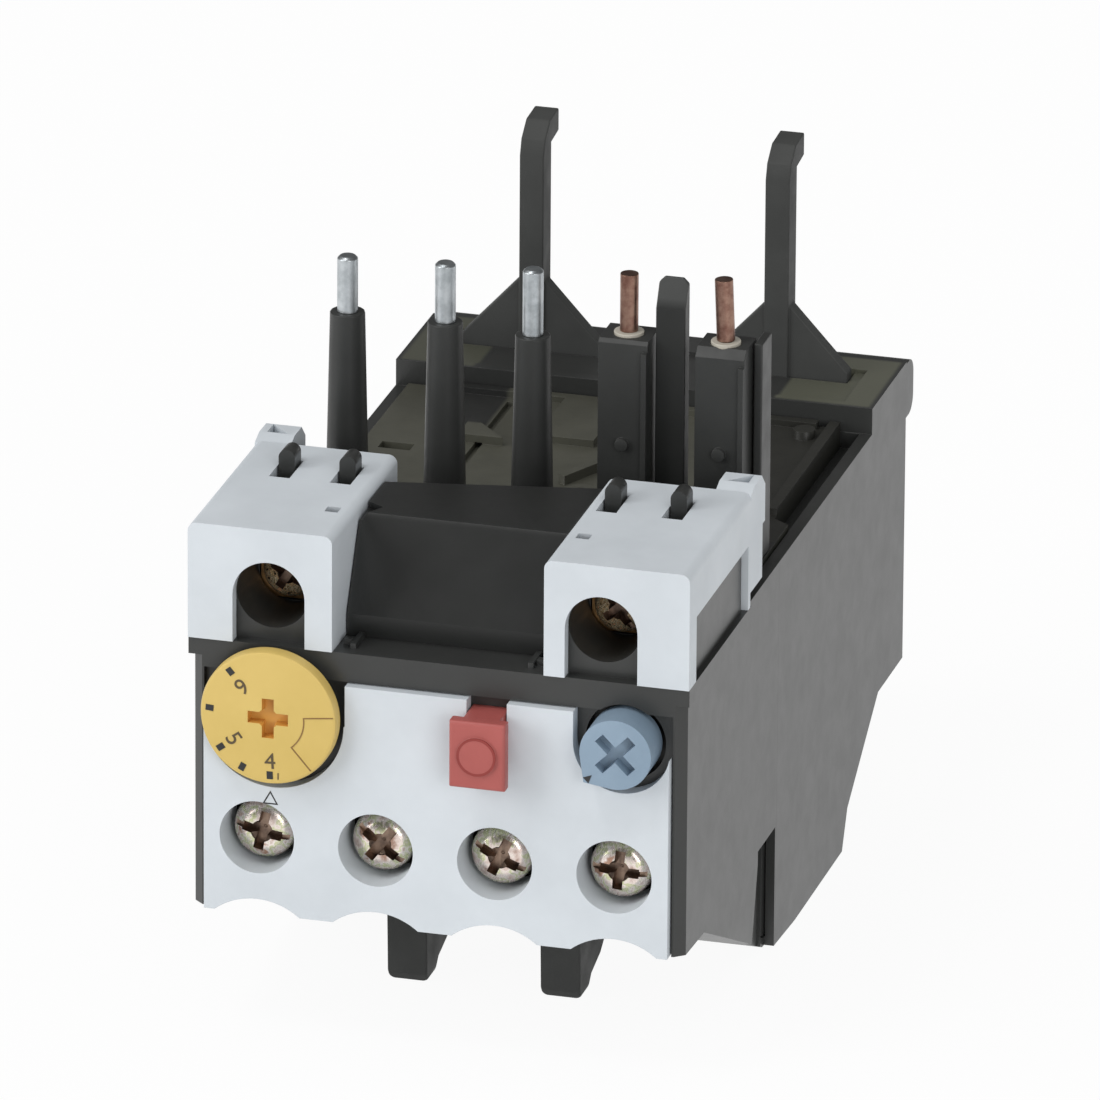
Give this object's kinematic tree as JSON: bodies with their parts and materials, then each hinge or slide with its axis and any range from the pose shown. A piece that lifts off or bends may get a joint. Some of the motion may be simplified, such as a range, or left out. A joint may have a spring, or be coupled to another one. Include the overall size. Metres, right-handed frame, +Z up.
{
  "type": "thermal overload relay",
  "caption": "Thermal overload relay that plugs in under a contactor: rating dial, test and reset buttons, screw terminals, contact pins and rear hooks.",
  "frame": {"origin": "middle of the bounding box's base, on the plane that the sole and the two feet stand on", "axes": "+X to the right seen from the front, +Y from the front plate to the rear hooks, +Z up along the contact pins"},
  "size_m": [0.0456, 0.0842, 0.0645],
  "materials": {
    "black_shell": "fine moulded texture, grey sheen at grazing light",
    "olive_deck": "fine moulded texture",
    "black_trim": "satin moulded plastic",
    "light_plastic": "light blue-grey moulded plastic",
    "yellow_plastic": "satin yellow",
    "red_plastic": "satin red",
    "blue_plastic": "satin pale blue",
    "white_collar": "off-white insulation",
    "zinc_chromate": "yellow chromate plating",
    "zinc_pin": "dull tin-plated round pins",
    "plated_steel": "zinc plated",
    "spring_steel": "spring wire",
    "copper_wire": "bare solid copper",
    "copper_strip": "copper alloy strip",
    "bimetal": "rolled bimetal",
    "heater_ribbon": "resistance ribbon"
  },
  "bodies": {
    "body": {"aux_terminal_left": "copper_strip", "aux_terminal_right": "copper_strip", "aux_terminal_screws": "zinc_chromate", "base_foot_left": "black_trim", "base_foot_right": "black_trim", "break_contact": "copper_strip", "contact_pin_1": "zinc_pin", "contact_pin_2": "zinc_pin", "contact_pin_3": "zinc_pin", "copper_wire_1": "copper_wire", "copper_wire_2": "copper_wire", "front_cover_plate": "light_plastic", "front_housing": "black_shell", "load_terminal_1": "copper_strip", "load_terminal_2": "copper_strip", "load_terminal_3": "copper_strip", "locating_tab": "black_trim", "main_terminal_cages": "plated_steel", "main_terminal_screws": "zinc_chromate", "make_contact": "copper_strip", "mounting_hook_left": "black_trim", "mounting_hook_right": "black_trim", "pin_sleeve_1": "black_trim", "pin_sleeve_2": "black_trim", "pin_sleeve_3": "black_trim", "pin_strap_1": "copper_strip", "pin_strap_2": "copper_strip", "pin_strap_3": "copper_strip", "rear_housing": "black_shell", "reset_spring": "spring_steel", "rocker_pivot": "plated_steel", "side_fin": "black_trim", "stop_button_spring": "spring_steel", "terminal_cap_left": "light_plastic", "terminal_cap_right": "light_plastic", "top_deck": "olive_deck", "trip_lever_pivot": "plated_steel", "wire_collar_1": "white_collar", "wire_collar_2": "white_collar", "wire_holder_1": "black_trim", "wire_holder_2": "black_trim", "wire_terminal": "copper_strip"},
    "dial": {"rating_dial": "yellow_plastic", "dial_cam": "black_trim"},
    "stop": {"stop_button": "red_plastic"},
    "plunger": {"reset_plunger": "black_trim"},
    "knob": {"reset_knob": "blue_plastic"},
    "slide": {"trip_slide": "light_plastic"},
    "slide_2": {"differential_slide": "light_plastic"},
    "lever": {"trip_lever": "light_plastic"},
    "rocker": {"contact_rocker": "copper_strip"},
    "pole_1": {"bimetal_strip_1": "bimetal", "heater_winding_1": "heater_ribbon"},
    "pole_2": {"bimetal_strip_2": "bimetal", "heater_winding_2": "heater_ribbon"},
    "pole_3": {"bimetal_strip_3": "bimetal", "heater_winding_3": "heater_ribbon"}
  },
  "joints": [
    {"name": "dial_turn", "type": "hinge", "parent": "body", "child": "dial", "pos_m": [-0.01486, -0.0379, 0.0314], "axis": [0, -1, 0], "range_deg": [0, 140]},
    {"name": "stop_press", "type": "slide", "parent": "body", "child": "stop", "axis": [0, 1, 0], "range_m": [0, 0.0018], "stiffness_N_per_m": 300, "springref_m": -0.001, "deforming": ["stop_button_spring"]},
    {"name": "reset_press", "type": "slide", "parent": "body", "child": "plunger", "axis": [0, 1, 0], "range_m": [0, 0.0018], "stiffness_N_per_m": 300, "springref_m": -0.001, "deforming": ["reset_spring"]},
    {"name": "reset_turn", "type": "hinge", "parent": "plunger", "child": "knob", "pos_m": [0.01694, -0.0379, 0.03175], "axis": [0, -1, 0], "range_deg": [0, 90]},
    {"name": "trip_travel", "type": "slide", "parent": "body", "child": "slide", "axis": [1, 0, 0], "range_m": [0, 0.0015], "stiffness_N_per_m": 100, "springref_m": -0.0003},
    {"name": "differential_travel", "type": "slide", "parent": "body", "child": "slide_2", "axis": [1, 0, 0], "range_m": [0, 0.0015]},
    {"name": "pole_1_bend", "type": "hinge", "parent": "body", "child": "pole_1", "pos_m": [-0.01635, 0.0006, 0.033], "axis": [0, -1, 0], "range_deg": [0, 3.49]},
    {"name": "pole_2_bend", "type": "hinge", "parent": "body", "child": "pole_2", "pos_m": [-0.00545, 0.0006, 0.033], "axis": [0, -1, 0], "range_deg": [0, 3.49]},
    {"name": "pole_3_bend", "type": "hinge", "parent": "body", "child": "pole_3", "pos_m": [0.00545, 0.0006, 0.033], "axis": [0, -1, 0], "range_deg": [0, 3.49]},
    {"name": "lever_swing", "type": "hinge", "parent": "body", "child": "lever", "pos_m": [0.0156, -0.0049, 0.019], "axis": [0, -1, 0], "range_deg": [0, 5.98]},
    {"name": "rocker_swing", "type": "hinge", "parent": "body", "child": "rocker", "pos_m": [0.0132, -0.0114, 0.0305], "axis": [0, 0, 1], "range_deg": [0, 8.9]}
  ],
  "couplings": [
    {"joint": "differential_travel", "follows": "trip_travel", "ratio": 1},
    {"joint": "pole_1_bend", "follows": "trip_travel", "rad_per_m": 40},
    {"joint": "pole_2_bend", "follows": "trip_travel", "rad_per_m": 40},
    {"joint": "pole_3_bend", "follows": "trip_travel", "rad_per_m": 40},
    {"joint": "lever_swing", "follows": "trip_travel", "rad_per_m": 68.966},
    {"joint": "rocker_swing", "follows": "trip_travel", "rad_per_m": 103}
  ]
}
